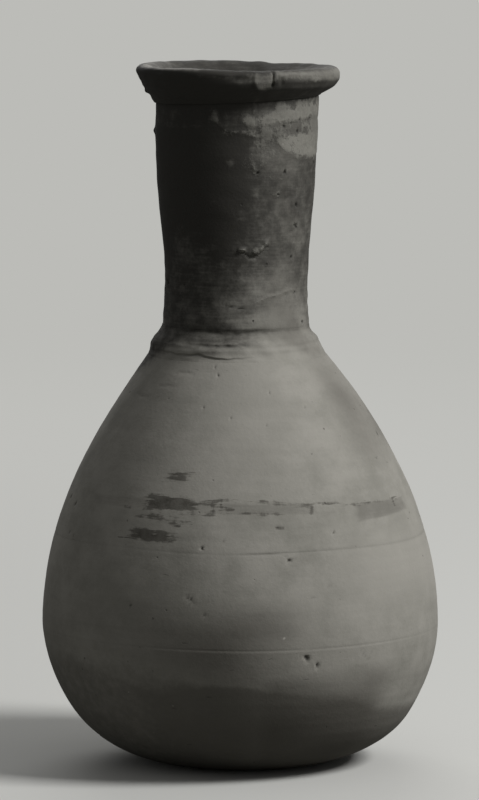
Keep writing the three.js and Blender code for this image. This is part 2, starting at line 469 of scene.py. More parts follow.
# The height of the coil's torn edge above the seat, and how plainly that and its groove show
TORN_EDGE = {
    -180: 0.9, -130: 1.3, -90: 1.2, -60: 1.5, -54: 1.4, -41: 1.1, -33: 1.25, -26: 1.45, -20: 0.9,
    -10: 0.75, 0: 0.7, 12: 0.9, 18: 1.05, 90: 1.2, 140: 0.8,
}
TORN_SEEN = {
    -110: 0.1, -70: 0.1, -57: 0.3, -48: 0.8, -23: 1, -4: 0.7, 5: 0.3, 15: 0.04, 115: 0, 140: 0.5,
    180: 0.6,
}
GROOVE_SEEN = {
    -120: 0.25, -75: 0.06, -42: 0.12, -31: 0.6, -24: 1.2, 3: 1.1, 10: 0.3, 20: 0.06, 80: 0.05,
    140: 0.5,
}


def broken(turn, seed):
    """How plainly a broken mark shows as it goes round: 0.9 and an eighth of a ripple."""
    return np.clip(0.9 + 0.125 * ripple(turn, 0, seed, 55, 99, 24), 0, 1.3)


def above_torn_edge(turn, up):
    """Height above the coil's torn lower edge."""
    return up - around(turn, TORN_EDGE) - 0.07 * ripple(turn, 0, 41, 45, 99, 24)


def coil_groove(turn, up, width):
    """How deep in the groove between the coil's ridges a point is: a bell round a wandering level."""
    level = 2.8 + 0.12 * ripple(turn, 0, 45, 9, 99) + 0.05 * ripple(turn, 0, 47, 50, 99, 24)
    return bell(up, level, width) * around(turn, GROOVE_SEEN) * broken(turn, 46)


def coil_marks(turn, up):
    """The torn edge, as a step that stands proud and dies away upwards, the groove, fine finger lines,
    and a lump at the left."""
    edge = above_torn_edge(turn, up)
    step = smooth(-0.12, 0.12, edge) * smooth(1.6, 0, edge)
    out = (
        (0.15 * step - 0.1 * bell(edge, -0.2, 0.2)) * around(turn, TORN_SEEN)
        - 0.17 * coil_groove(turn, up, 0.28)
        + waves(turn, up, COIL_WAVES)
        + lumps(turn, up, SEAT_RADIUS, [(0.12, -76, 2.3, 1.4, 0.9)])
    )
    return out * smooth(0, 0.5, up) * smooth(0, 0.5, COIL_TOP - SEAT - up)


# Skins


def put(name, data):
    """Puts a mesh, a lamp or a camera in the scene as an object."""
    thing = bpy.data.objects.new(name, data)
    bpy.context.scene.collection.objects.link(thing)
    return thing


def skin(name, points, axis_ends=False):
    """A closed skin over a grid of points, whose rows follow the ring and whose columns go round the
    axis. The last row joins the first, or, with axis_ends, both close on a point on the axis."""
    rows, count, _ = points.shape
    if axis_ends:
        poles = points[[0, -1], 0]
        points = points[1:-1]
        rows -= 2
    number = np.arange(rows * count).reshape(rows, count)
    here = number[:-1] if axis_ends else number
    above = number[1:] if axis_ends else np.roll(number, -1, axis=0)
    quads = np.stack([here, np.roll(here, -1, 1), np.roll(above, -1, 1), above], axis=-1)
    faces = quads.reshape(-1, 4).tolist()
    vertices = points.reshape(-1, 3)
    if axis_ends:
        under, over = len(vertices), len(vertices) + 1
        vertices = np.vstack([vertices, poles])
        low, high = (zip(row.tolist(), np.roll(row, -1).tolist()) for row in number[[0, -1]])
        faces += [[under, b, a] for a, b in low] + [[a, b, over] for a, b in high]
    mesh = bpy.data.meshes.new(name)
    mesh.from_pydata((vertices * MM).tolist(), [], faces)
    mesh.shade_smooth()
    mesh.set_sharp_from_angle(angle=math.radians(SHARP_CREASE))
    return put(name, mesh)


def placed(turn, radius, height):
    """Points from their angle, radius and height, leaning with the bottle's middle."""
    x = lean(height) + radius * np.sin(np.radians(turn))
    y = -radius * np.cos(np.radians(turn))
    return np.stack(np.broadcast_arrays(x, y, height + 0 * turn), axis=-1)


def columns(count):
    """Angles round the axis as one row, closer together at the front: t - 12 sin t degrees."""
    turn = np.linspace(-180, 180, count, endpoint=False)
    return (turn - 12 * np.sin(np.radians(turn)))[None, :]


def ring(*runs):
    """Joins runs of profile points into one ring, with one point where two meet. A run is what it is,
    outside, inside, base or joint, and then what even takes."""
    points = []
    kinds = []
    for kind, *run in runs:
        line = even(*run)
        if points and np.allclose(points[-1][-1], line[0], atol=1e-6):
            line = line[1:]
        points.append(line)
        kinds += [kind] * len(line)
    points = np.vstack(points)
    if np.allclose(points[0], points[-1], atol=1e-6):
        points = points[:-1]
        kinds = kinds[:-1]
    return points, np.array(kinds)


def wall_skin(name, count, line, marks, *runs, axis_ends=False):
    """The skin of a turned wall. Outer points are gathered round the pits, put back on the outline at
    their new height, and moved along its normal by the marks. Inner ones get the throwing ridges."""
    points, kinds = ring(*runs)
    outside, inner, base = ((kinds == kind)[:, None] for kind in ("outside", "inside", "base"))
    turn = columns(count)
    radius = points[:, :1] + 0 * turn
    height = points[:, 1:] + 0 * turn
    levels = points[kinds == "outside", 1]
    low, high = levels.min(), levels.max()
    near_turn, near_height = gathered(turn, height, np.maximum(radius, 1), low, high)
    turn = np.where(outside, near_turn, turn)
    height = np.where(outside, near_height, height)
    radius = np.where(outside, np.interp(height, line[:, 1], line[:, 0]), radius)
    along = directions(line)
    normal_r = np.interp(height, line[:, 1], along[:, 1])
    normal_z = np.interp(height, line[:, 1], -along[:, 0])
    out = np.where(outside, marks(turn, height, radius), 0)
    pit = np.where(outside, pit_share(turn, height, radius, low, high), 0)
    ridges = np.where(inner, inner_marks(turn, height), 0)
    hollow = np.where(base, base_marks(turn, radius), 0)
    radius = radius + out * normal_r - ridges
    height = height + out * normal_z - hollow
    piece = skin(name, placed(turn, radius, height), axis_ends)
    return piece, turn, radius, height, pit


def make_lower_body():
    """The bowl: base, outside up to the joint, the bevel, and the inside down to the floor."""
    outer = cut(BODY_LINE, 0, JOINT)
    inner = cut(offset(BODY_LINE, BOWL_WALL), FLOOR + 0.4, JOINT - BOWL_WALL)
    bevel_top = cut(offset(BODY_LINE, SHOULDER_WALL), JOINT_INSIDE, JOINT_INSIDE + 1)[0]
    return wall_skin(
        "lower_body_fired", BOWL_COLUMNS, BODY_LINE, body_marks,
        ("base", [[0, 0], [BASE_RADIUS, 0]], 0.34),
        ("outside", outer, 0.5, (RIB_MARK, JOINT)),
        ("joint", [outer[-1], bevel_top], 0.9),
        ("inside", np.vstack([bevel_top, inner[::-1]]), 1.2),
        ("joint", [inner[0], [FLOOR_RADIUS, FLOOR], [0, FLOOR]], 1.4),
        axis_ends=True,
    )


def make_upper_body():
    """The shoulder: outside from the joint to the neck's seat, then down the inside."""
    outer = cut(BODY_LINE, JOINT, SEAT)
    inner = cut(offset(BODY_LINE, SHOULDER_WALL), JOINT_INSIDE, LEDGE - 3.2)
    return wall_skin(
        "upper_body_fired", SHOULDER_COLUMNS, BODY_LINE, body_marks,
        ("outside", outer, 0.34, (JOINT,)),
        ("joint", [outer[-1], [BORE, SEAT], [BORE, LEDGE], inner[-1]], 0.9),
        ("inside", inner[::-1], 1.1),
        ("joint", [inner[0], outer[0]], 0.9),
    )


def make_neck():
    """The neck: outside from the seat to the rim, its end, and the bore down to the foot."""
    inner = cut(offset(NECK_LINE, NECK_WALL), COIL_TOP, NECK_END - 4.4)
    inner = np.vstack([[BORE, SEAT], inner, [MOUTH_BORE, NECK_END]])
    return wall_skin(
        "neck_fired", NECK_COLUMNS, NECK_LINE, neck_marks,
        ("outside", NECK_LINE, 0.3, (COIL_TOP - 0.38,), 0.09),
        ("joint", [NECK_LINE[-1], [MOUTH_BORE, NECK_END]], 0.8),
        ("inside", inner[::-1], 0.9),
        ("joint", [inner[0], NECK_LINE[0]], 0.8),
    )


def make_luting_coil():
    """The coil: the full and the lean slope, mixed by angle and moved out by the marks. Its back
    follows the neck's waist down to the flat seat."""
    turn = columns(COIL_COLUMNS)
    tall = COIL_TOP - SEAT
    up = np.linspace(0, tall, 76)[:, None]
    full, thin = (
        np.mean([np.interp(up + s, *zip(*slope)) for s in (-0.25, 0, 0.25)], axis=0)
        for slope in (FULL_SLOPE, LEAN_SLOPE)
    )
    out = thin + (full - thin) * to_left(turn) + coil_marks(turn, up)
    front = NECK_FOOT_RADIUS + out - waist(turn, SEAT + up)
    up_back = np.linspace(tall, 0, 20)[:, None]
    back = NECK_FOOT_RADIUS - waist(turn, SEAT + up_back)
    under = np.linspace(NECK_FOOT_RADIUS, SEAT_RADIUS, 6)[1:-1, None] + 0 * turn
    radius = np.vstack([front, back, under])
    height = np.vstack([up + 0 * turn, up_back + 0 * turn, 0 * under]) + SEAT
    piece = skin("luting_coil_fired", placed(turn, radius, height))
    return piece, turn, radius, height, 0 * radius


def rim_section(skirt_foot, swell, edge):
    """From the skirt's foot up a cone or a swell, round the lip and down the dish to the throat."""
    under = bezier(
        (NECK_RADIUS + 0.35, skirt_foot), (NECK_RADIUS + 1 + swell, skirt_foot + 1.1),
        (LIP_RADIUS - 0.4 + swell * 0.4, edge - 1.35 - swell * 0.3), (LIP_RADIUS, edge),
    )
    lip = bezier(
        (LIP_RADIUS, edge), (LIP_RADIUS + 0.05, edge + 0.55 * (HEIGHT - edge)),
        (LIP_RADIUS - 0.35, HEIGHT), (LIP_RADIUS - 1.5, HEIGHT),
    )
    dish = bezier(
        (LIP_RADIUS - 1.5, HEIGHT), (LIP_RADIUS - 3.1, HEIGHT), (MOUTH_BORE + 1.4, THROAT + 0.7),
        (MOUTH_BORE, THROAT),
    )
    return np.vstack([under, lip[1:], dish[1:]])


# Chips in the lip's outer side, and in all of it further round, as rows for lumps
OUTER_CHIPS = [
    (-0.3, 25.3, 118.2, 0.42, 0.7), (-0.16, 22.8, 119, 0.3, 0.4), (-0.14, 43, 118, 0.35, 0.25),
    (-0.12, 2, 118.5, 1.3, 0.5),
]
WHOLE_CHIPS = [(-0.2, -52, 119.4, 1.3, 0.4), (-0.3, -128, 119.2, 1.5, 0.6)]

# How far the lip's top is worn down at some angles, or stands up, where that is negative
LIP_WORN = {
    -170: -0.12, -120: -0.24, -35: -0.22, -5: -0.03, 60: 0, 106: 0.1, 114: 0.32, 158: 0.34,
    165: 0.02,
}


def rim_marks(turn, height, radius):
    """Waves and level finger lines, a tongue of slurry over the lip's edge at the right of the front,
    a nick beside it, chips, and a nub at the left."""
    outer = smooth(LIP_RADIUS - 2.6, LIP_RADIUS - 1.2, radius)
    below_crown = smooth(120, 119.3, height)
    oval = np.hypot(arc(turn, 14, LIP_RADIUS) / 1.8, (height - 118.5) / 2.15)
    tongue = 0.3 * smooth(1.15, 0.75, oval) * below_crown
    nick = 0.4 * bell(arc(turn, 19.9, LIP_RADIUS), 0, 0.2) * smooth(116.9, 117.6, height) * below_crown
    return (
        waves(turn, height, RIM_WAVES)
        + (tongue - nick + lumps(turn, height, LIP_RADIUS, OUTER_CHIPS)) * outer
        + lumps(turn, height, LIP_RADIUS, WHOLE_CHIPS)
        + lumps(turn, height, LIP_RADIUS - 1.4, [(0.34, -88, 115.8, 0.6, 0.45)])
    )


def make_rim():
    """The rim: a long straight cone at the left, a short round roll at the right, mixed by angle."""
    turn = columns(RIM_COLUMNS)
    count = 92
    cone_r, cone_z = resampled(rim_section(113.8, 0, 119.1), count)
    roll_r, roll_z = resampled(rim_section(115.15, 0.95, 118.25), count)
    radius = roll_r + (cone_r - roll_r) * to_left(turn)
    height = roll_z + (cone_z - roll_z) * to_left(turn)
    along_r = np.gradient(radius, axis=0)
    along_z = np.gradient(height, axis=0)
    size = np.hypot(along_r, along_z)
    ends = np.linspace(0, 1, count)[:, None]
    marks = rim_marks(turn, height, radius) * smooth(0, 0.03, ends) * smooth(0, 0.06, 1 - ends)
    radius = radius + marks * along_z / size
    height = height - marks * along_r / size
    height = height - around(turn, LIP_WORN) * smooth(118.4, 119.8, height)
    skirt = np.vstack([height[:1], 0 * height[:1] + NECK_END])
    seat = np.linspace(MOUTH_BORE, NECK_RADIUS, 5)[:-1, None] + 0 * turn
    radius = np.vstack([radius, seat, 0 * skirt[::-1] + NECK_RADIUS])
    height = np.vstack([height, 0 * seat + NECK_END, skirt[::-1]])
    piece = skin("rim_fired", placed(turn, radius, height))
    return piece, turn, radius, height, 0 * radius


# Stains, painted light and shade, slip and paint, kept on each mesh as one number for each point


# What is left of a band brushed round the shoulder: dabs, thin lines and ticks, with how full each is,
# only scraps below 0.1, and a wash, with how thick it is
DABS = [
    (0.45, (-32, 47.9, 1.3, -15, 47.85, 1)),
    (-0.1, (-29, 46.3, 0.9, -16, 45.8, 1)),
    (0.32, (-35.5, 42.6, 1.1, -22, 42.4, 0.9)),
    (0.2, (-26.4, 52.1, 0.66, -19, 52.15, 0.6)),
    (0.6, (116, 47.2, 1.2, 138, 47, 1)),
    (0.3, (155, 47.6, 0.9, 166, 47.4, 0.8)),
    (0.5, (-122, 47.2, 1.15, -92, 47.4, 1)),
    (0.1, (-152, 43.3, 0.9, -134, 43.1, 0.8)),
]
LINES = [
    (0.05, [(-41, 41.7, 0.05), (-38, 41.8, 0.25), (-34, 42.1, 0.4)]),
    (0.15, [(-22, 41.9, 0.4), (-19, 42.2, 0.05)]),
    (0.25, [(-37, 45.3, 0.06), (-33, 45.4, 0.15), (-30, 45.5, 0.12)]),
    (0.25, [(-24, 46.2, 0.08), (-22, 45.8, 0.14), (-20, 45.6, 0.05)]),
    (0.25, [(-24, 45, 0.08), (-22, 44.6, 0.16), (-19.5, 44.3, 0.08)]),
    (0.06, [(-16, 48.3, 0.16), (-9.2, 48.15, 0.16), (-6, 48.6, 0.14)]),
    (-0.06, [(-6, 48.6, 0.16), (2, 48.45, 0.16), (12, 48, 0.14), (21, 47.6, 0.16), (25, 47.65, 0.2)]),
    (-0.05, [(25.5, 47.8, 0.08), (33, 47.6, 0.16), (41, 47.25, 0.14), (55, 46.95, 0.14), (69, 46.8, 0.08)]),
    (-0.05, [(-16, 46.9, 0.05), (-13, 46.5, 0.16), (-8, 46.4, 0.14)]),
    (0, [(-9, 47.3, 0.1), (-4, 47.1, 0.12), (-2, 47.2, 0.08)]),
    (-0.08, [(-6.5, 46.6, 0.14), (1.8, 46.6, 0.12), (15, 46.3, 0.07)]),
    (1, [(-9.3, 48.1, 0.16), (-8.4, 46.4, 0.24)]),
    (0.1, [(-6.2, 48.5, 0.14), (-5.8, 47, 0.1)]),
    (1, [(24.7, 47.6, 0.15), (24, 46.3, 0.27)]),
    (-0.2, [(-41, 46.9, 0.03), (-38, 46.9, 0.12), (-35, 47, 0.05)]),
    (0.05, [(11.6, 44.2, 0.14), (14.5, 44.15, 0.08)]),
    (0.05, [(62, 47, 0.12), (61.6, 45.8, 0.14)]),
    (0.1, [(-92, 47.9, 0.16), (-84, 47.8, 0.05)]),
    (0.05, [(88, 48, 0.1), (104, 48.2, 0.14), (118, 48.2, 0.1)]),
    (0.05, [(166, 47.9, 0.12), (184, 48.1, 0.12), (206, 48, 0.08)]),
]
WASH = [
    ((41.2, 45.75, 1.5, 70, 45.95, 1.05), 1),
    ((-17, 47.35, 1, 26, 46.95, 0.8), 0.72),
    ((24, 46.95, 0.8, 44, 46.4, 0.8), 0.3),
    ((-58, 47.4, 0.8, -31, 47.6, 1), 0.6),
    ((33, 41.4, 1.2, 46, 41.2, 1.2), 0.25),
    ((-26, 42.8, 1.2, -8, 43, 1), 0.25),
    ((136, 47, 1, 190, 47.4, 1), 0.7),
    ((-166, 47.4, 1, -90, 47.3, 1), 0.55),
]

# Pale crust, and pale highlights painted on the knot of grit's lumps, with how full each is: below 1,
# only specks and scraps are left
CRUST_AND_HIGHLIGHTS = [
    (1, [(5.5, 111.6, 0.9), (12, 111.3, 1.1), (24, 111.6, 1.3), (40, 112.2, 1.4), (62, 112.6, 1.3),
         (98, 112.2, 1)]),
    (1, [(33, 107.5, 0.9), (39, 107.3, 1.9), (48, 107.1, 2.3), (75, 106.8, 2.4), (92, 107, 1.4)]),
    (0.3, [(31, 113.3, 0.8), (45, 113.6, 0.9), (70, 114, 0.9), (98, 113.8, 0.9)]),
    (0.15, [(22, 110.2, 1.2), (40, 109.8, 1.4), (60, 109.6, 1.5), (95, 109.6, 1.2)]),
    (-0.15, [(10, 109.4, 0.8), (22, 107.4, 2.2), (34, 106.4, 2)]),
    (-0.35, [(12, 104.4, 1.2), (26, 103.6, 1.6), (44, 102.8, 1.4)]),
    (0.2, [(-16.5, 113, 0.1), (-15.5, 111.8, 0.4), (-13, 110.9, 0.2), (-10, 110.4, 0.2)]),
    (0.3, [(-8, 109.9, 0.15), (-4, 109.5, 0.3), (5, 109.3, 0.25), (12, 108.9, 0.3)]),
    (1, [(11.9, 114.9, 0.16), (12.4, 113, 0.3)]), (1, [(12.5, 103.8, 0.4), (13, 103.5, 0.4)]),
    # The second stroke on this line and the whole next line are highlights painted on the knot's lumps
    (1, [(32, 98.9, 0.3), (29, 98.7, 0.2)]), (1, [(4, 89.4, 0.2), (7, 89.5, 0.2)]),
    (1, [(15, 89, 0.2), (18, 89.3, 0.35), (22, 90.1, 0.3), (25, 90.8, 0.3)]),
    (0.1, [(24, 119.3, 0.2), (38, 118.9, 0.6), (52, 118.6, 0.7)]),
    (0.4, [(60, 118.9, 0.6), (72, 118.9, 0.8), (96, 119, 0.6), (120, 119, -0.6)]),
    (-0.1, [(10.5, 118.8, 0.6), (14, 118.2, 0.9), (17.5, 118.8, 0.6)]),
    (0.2, [(98, 112.2, 1), (118, 111.6, 0.6), (132, 111.2, 1.7), (156, 111.8, 0.7), (172, 111.5, 1.2)]),
    (-0.1, [(-156, 109.8, 0.4), (-142, 110.4, 1.9), (-128, 110.6, 0.7)]),
    (0, [(168, 98.2, 0.4), (177, 97.6, 1.1), (186, 97.9, 0.4)]),
]

# Where the slip is worn thin, with how much of it has gone
WORN = [
    (0.4, [(10.5, 118.8, 0.7), (14.2, 118, 1.3), (18.2, 118.8, 0.7)]),
    (0.25, [(-24, 119.3, 0.2), (-10, 118.9, 0.5), (0, 118.5, 0.9), (8, 118.5, 0.9)]),
    (0.5, [(23, 119.2, 0.5), (38, 119.1, 0.7), (58, 119, 0.8), (70, 118.8, 1), (98, 118.8, 0.9),
           (140, 119, -0.6)]),
    (0.5, [(-130, 120.4, -0.6), (-88, 120.4, 0.4), (-30, 120.3, 0.4), (-10, 120.2, -0.4)]),
    (0.35, WRINKLE),
    (0.25, [(-7, 104.4, 0.2), (-4, 104.3, 0.7)]),
    (0.16, [(16, 106.4, 1.6), (32, 104.8, 2.2), (46, 104, 1.6)]),
    (0.16, [(-2, 95.5, 0.7), (4, 95.2, 1)]),
    (0.22, [(36, 96.5, 1.5), (46, 93.5, 2.2), (60, 90.5, 1.6)]),
    (0.14, [(6, 84.6, 0.7), (16, 83.2, 1.6), (28, 83.6, 1.3), (46, 84.4, 0.7)]),
    (0.2, [(-13, 80.3, 1), (-6, 79.6, 1.3), (4, 80.6, 1)]),
    (0.3, [(-5, 77.2, 0.5), (6, 76.9, 1), (18, 77.2, 0.8)]),
    (0.2, [(28, 78, 1), (48, 78.4, 1.2), (66, 78.4, 1)]),
]

# The darker foot's upper edge at some angles, how soft it is, how full the darkening gets, and how
# plainly the darker band above it shows. At the left the foot is kept softer and less full, as
# painted light making up for the shadowed floor on that side; the band above is partly painted
# shade and partly smudge
FOOT_EDGE = {
    -180: 15, -120: 17, -60: 22, -31: 21, -12: 18.2, 3: 17.4, 19: 16.4, 31: 15.6, 41: 13.8,
    49: 12.4, 70: 11.4, 105: 12.6, 150: 14.2,
}
FOOT_SOFTNESS = {-180: 4, -60: 9, -28: 7, -13: 1.3, -8: 1, 20: 1, 32: 1.8, 80: 2, 140: 3}
FOOT_FULL = {-180: 1, -70: 0.35, -38: 0.5, -14: 1, 90: 1}
BELLY_SHADE_AND_SMUDGE = {
    -180: 0.25, -110: 0.4, -60: 0.16, -40: 0.26, -20: 0.5, -12: 0.62, -5: 0.66, 3: 0.54, 9: 0.48,
    20: 0.3, 33: 0.17, 45: 0.08, 70: 0, 140: 0.2,
}

# How much dark slip covers the neck at some heights, at the left and at the right
SLIP_LEFT = [
    (68, 0), (70.5, 0.1), (72, 0.36), (73.5, 0.64), (75, 0.72), (82, 0.72), (89, 0.84), (94, 0.95),
    (98, 1), (121, 1),
]
SLIP_RIGHT = [
    (64, 0), (70, 0.05), (72, 0.1), (74, 0.17), (76, 0.22), (79, 0.34), (84, 0.54), (90, 0.7), (100, 0.66),
    (110, 0.72), (116, 0.86),
]
RIGHTWARDS = {
    -180: 0.5, -100: 0, -28: 0, -12: 0.04, 0: 0.18, 8: 0.45, 24: 0.9, 38: 1, 95: 1, 140: 0.75,
}


def slip_cover(turn, height, radius):
    """How much of the dark slip is left: the left's and the right's, which ran down furthest at the
    sides, mixed by angle, and thinned where it is worn, in a band under the rim and in the dish."""
    left_run = 3 * bell(turned_from(turn, -80), 0, 36) + 0.8 * ripple(turn, 0, 62, 5, 99)
    right_run = 3 * between(turn, 40, 72, 110, 150) + 0.8 * ripple(turn, 0, 63, 5, 99)
    left = np.interp(height + left_run, *zip(*SLIP_LEFT))
    right = np.interp(height + right_run, *zip(*SLIP_RIGHT))
    cover = left + (right - left) * around(turn, RIGHTWARDS)
    for gone, route in WORN:
        cover = cover * (1 - gone * smooth(-0.6, 0.6, inside_stroke(turn, height, radius, route)))
    band = between(height, 109.6, 110.2, 112.9, 113.6)
    dish = smooth(LIP_RADIUS - 0.5, LIP_RADIUS - 1.5, radius) * smooth(118, 119, height)
    return cover * (1 - 0.12 * band) * (1 - dish * (0.1 + 0.25 * bell(turned_from(turn, -85), 0, 60)))


def groove_shade_and_soil(turn, height, radius):
    """Painted shade in the grooves, in the fold at the neck's root, under the coil's torn edge and under
    the knot of grit, with soil left in the grooves, drags and scratches.
    """
    up = height - SEAT
    torn = bell(above_torn_edge(turn, up), -0.14, 0.18) * around(turn, TORN_SEEN)
    root = bell(height, root_line(turn) + 0.06, 0.5) * around(turn, ROOT_SEEN)
    scratched = inside_any(turn, height, radius, DRAGS + NECK_SCRATCHES)
    shade_and_soil = (
        0.3 * joint_groove(turn, height)
        + 0.22 * bell(above_rib(turn, height), 0, 0.16) * around(turn, RIB_SEEN)
        + 0.4 * coil_groove(turn, up, 0.26)
        + 0.42 * torn * broken(turn, 48)
        + 0.5 * root * broken(turn, 49)
        + 0.25 * smooth(-0.15, 0.15, scratched)
    )
    return np.clip(shade_and_soil, 0, 1)


def damp_share(turn, height):
    """Darker places: on the belly above the foot, partly painted shade and partly smudge, and over the
    foot's edge at the right; and painted shade down the shoulder's right and on its left. The
    underside has one even share."""
    belly = around(turn, BELLY_SHADE_AND_SMUDGE) * smooth(38, 26, height) * (1 - 0.3 * smooth(24, 17, height))
    foot = 0.62 * between(turn, -4, 12, 40, 60) * smooth(22.5, 17, height)
    # Painted shade down the shoulder's right, reaching the coil's right, and on the shoulder's left
    ran_from = 34 - 28 * smooth(71, 75, height)
    right = 0.5 * between(turn, ran_from, ran_from + 30, 105, 130) * smooth(46, 59, height)
    left = 0.22 * bell(turned_from(turn, -40), 0, 16) * between(height, 46, 56, 66, 73)
    total = np.maximum(np.maximum(belly, foot), np.maximum(right, left))
    total = total * (1 + 0.12 * ripple(turn, height, 64, 9, 9, 24))
    return total + (0.35 - total) * smooth(5, 0.5, height)


def painted_light_share(turn, height):
    """Painted light: two places painted paler, the belly's right and the shoulder's front up to the coil.
    """
    belly = 0.8 * between(turn, 20, 45, 80, 110) * bell(height, 36, 7)
    shoulder = 0.6 * bell(turned_from(turn, 3), 0, 25) * between(height, 40, 60, 71, 75)
    return np.maximum(belly, shoulder)


def write_fields(made):
    """Stores the stains and the painted light and shade on a piece's points. Paint and crust are
    distances in mm inside their edge, and foot is too, over its edge's softness. The others are
    shares. The bore has no crust."""
    piece, turn, radius, height, pit = made
    dabs = inside_patchy(turn, height, radius, DABS, inside_dab)
    wash = [thick * smooth(-0.3, 0.3, inside_dab(turn, height, radius, dab)) for dab, thick in WASH]
    below_edge = around(turn, FOOT_EDGE) + 0.25 * ripple(turn, 0, 61, 8, 99) - height
    # Less full at the left: painted light against the floor's shadow there
    fullest = np.maximum(around(turn, FOOT_FULL), smooth(5, 0.5, height))
    crust = inside_patchy(turn, height, radius, CRUST_AND_HIGHLIGHTS)
    fields = {
        "paint": np.maximum(dabs, inside_patchy(turn, height, radius, LINES)),
        "wash": np.max(wash, axis=0),
        "foot": np.minimum(below_edge / around(turn, FOOT_SOFTNESS), fullest),
        # Darker places, mostly painted shade
        "damp": damp_share(turn, height),
        # Painted light
        "pale": painted_light_share(turn, height),
        "slip": slip_cover(turn, height, radius),
        "crust": np.where(radius > MOUTH_BORE + 0.8, crust, -1),
        # Painted shade and soil in the grooves
        "shade_and_soil": groove_shade_and_soil(turn, height, radius),
        # Painted shade in the pits, with soil
        "pit": 0.85 * pit,
    }
    for name, field in fields.items():
        rows = np.broadcast_to(field, radius.shape)
        values = rows.reshape(-1)
        if len(values) != len(piece.data.vertices):
            values = np.concatenate([rows[1:-1].reshape(-1), rows[[0, -1], 0]])
        attribute = piece.data.attributes.new(name, "FLOAT", "POINT")
        attribute.data.foreach_set("value", values.astype(np.float32))


# Materials


def colour(hex_value):
    """An sRGB hex colour as linear numbers: c/12.92 below 0.04045, else ((c+0.055)/1.055)^2.4."""
    channels = [int(hex_value[i : i + 2], 16) / 255 for i in (1, 3, 5)]
    linear = [c / 12.92 if c <= 0.04045 else ((c + 0.055) / 1.055) ** 2.4 for c in channels]
    return (*linear, 1)


def per_metre(size):
    """The scale of a pattern whose features are size millimetres apart."""
    return 1 / (size * MM)


def empty_tree(owner):
    """The node tree of a material or the world, with nothing in it yet."""
    owner.use_nodes = True
    owner.node_tree.nodes.clear()
    return owner.node_tree


def add(tree, kind, inputs=None, take=0, **settings):
    """Adds a shader node and gives back one of its outputs. Its settings are set first, then each
    input takes a value or the link of another node's output."""
    node = tree.nodes.new("ShaderNode" + kind)
    for name, value in settings.items():
        setattr(node, name, value)
    for name, value in (inputs or {}).items():
        if isinstance(value, bpy.types.NodeSocket):
            tree.links.new(value, node.inputs[name])
        else:
            node.inputs[name].default_value = value
    return node.outputs[take] if node.outputs else node


def summed(tree, patterns):
    """Patterns added up by their weights."""
    added = 0
    for pattern, weight in patterns:
        added = add(tree, "Math", {0: pattern, 1: weight, 2: added}, operation="MULTIPLY_ADD")
    return added


def share(tree, patterns, low, high, bottom=0, top=1):
    """How much of something shows: a soft step takes the sum of some patterns from bottom at low to
    top at high. Bottom and top may be shares themselves."""
    step = {0: summed(tree, patterns), 1: low, 2: high, 3: bottom, 4: top}
    return add(tree, "MapRange", step, interpolation_type="SMOOTHSTEP")


def specks(tree, place, spacing, size, chance, strength):
    """Scattered specks: a soft dot at the centre of a random share of a cell pattern's cells."""
    inputs = {"Vector": place, "Scale": per_metre(spacing), "Randomness": 1}
    apart = add(tree, "TexVoronoi", inputs, take="Distance")
    cell = add(tree, "TexVoronoi", inputs, take="Color")
    drawn = add(tree, "SeparateColor", {0: cell})
    chosen = share(tree, [(drawn, 1)], chance, chance - 0.01, 0, strength)
    return share(tree, [(apart, 1)], size / spacing, size / spacing * 0.45, 0, chosen)


CLAY_SHADE = colour("#8b8981")
# Paler clay, also used as painted light
CLAY_LIGHT = colour("#a5a29a")
PAINT_BROWN = colour("#4b4841")
# A darker tone: the foot's, and painted shade on the belly and shoulder
DARK_TONE_AND_SHADE = colour("#5e5b54")
SLIP = colour("#36342f")
# Pale crust, also used for the highlights painted on the knot
PALE_CRUST_AND_HIGHLIGHT = colour("#8a8880")
# Soil, also used as painted shade in the grooves and pits
SOIL_AND_SHADE = colour("#2f2d28")
LIME = colour("#c6c3ba")

# Noises: size in mm of the broadest features, octaves of detail, roughness, how many times longer
# than tall they are, and how far they are turned from level, in degrees
NOISES = {
    "clouds": (26, 4, 0.62, 1, 0),
    "mottle": (6, 4, 0.62, 1, 0),
    "wipes": (22, 4, 0.62, 12, 0),
    "streaks": (6, 3, 0.7, 14, 0),
    "scrapes": (5, 3, 0.7, 7, 35),
    "ragged": (1.8, 5, 0.68, 1, 0),
    "grain": (0.6, 3, 0.7, 1, 0),
}
FIELDS = ("paint", "wash", "foot", "damp", "pale", "slip", "crust", "shade_and_soil", "pit")


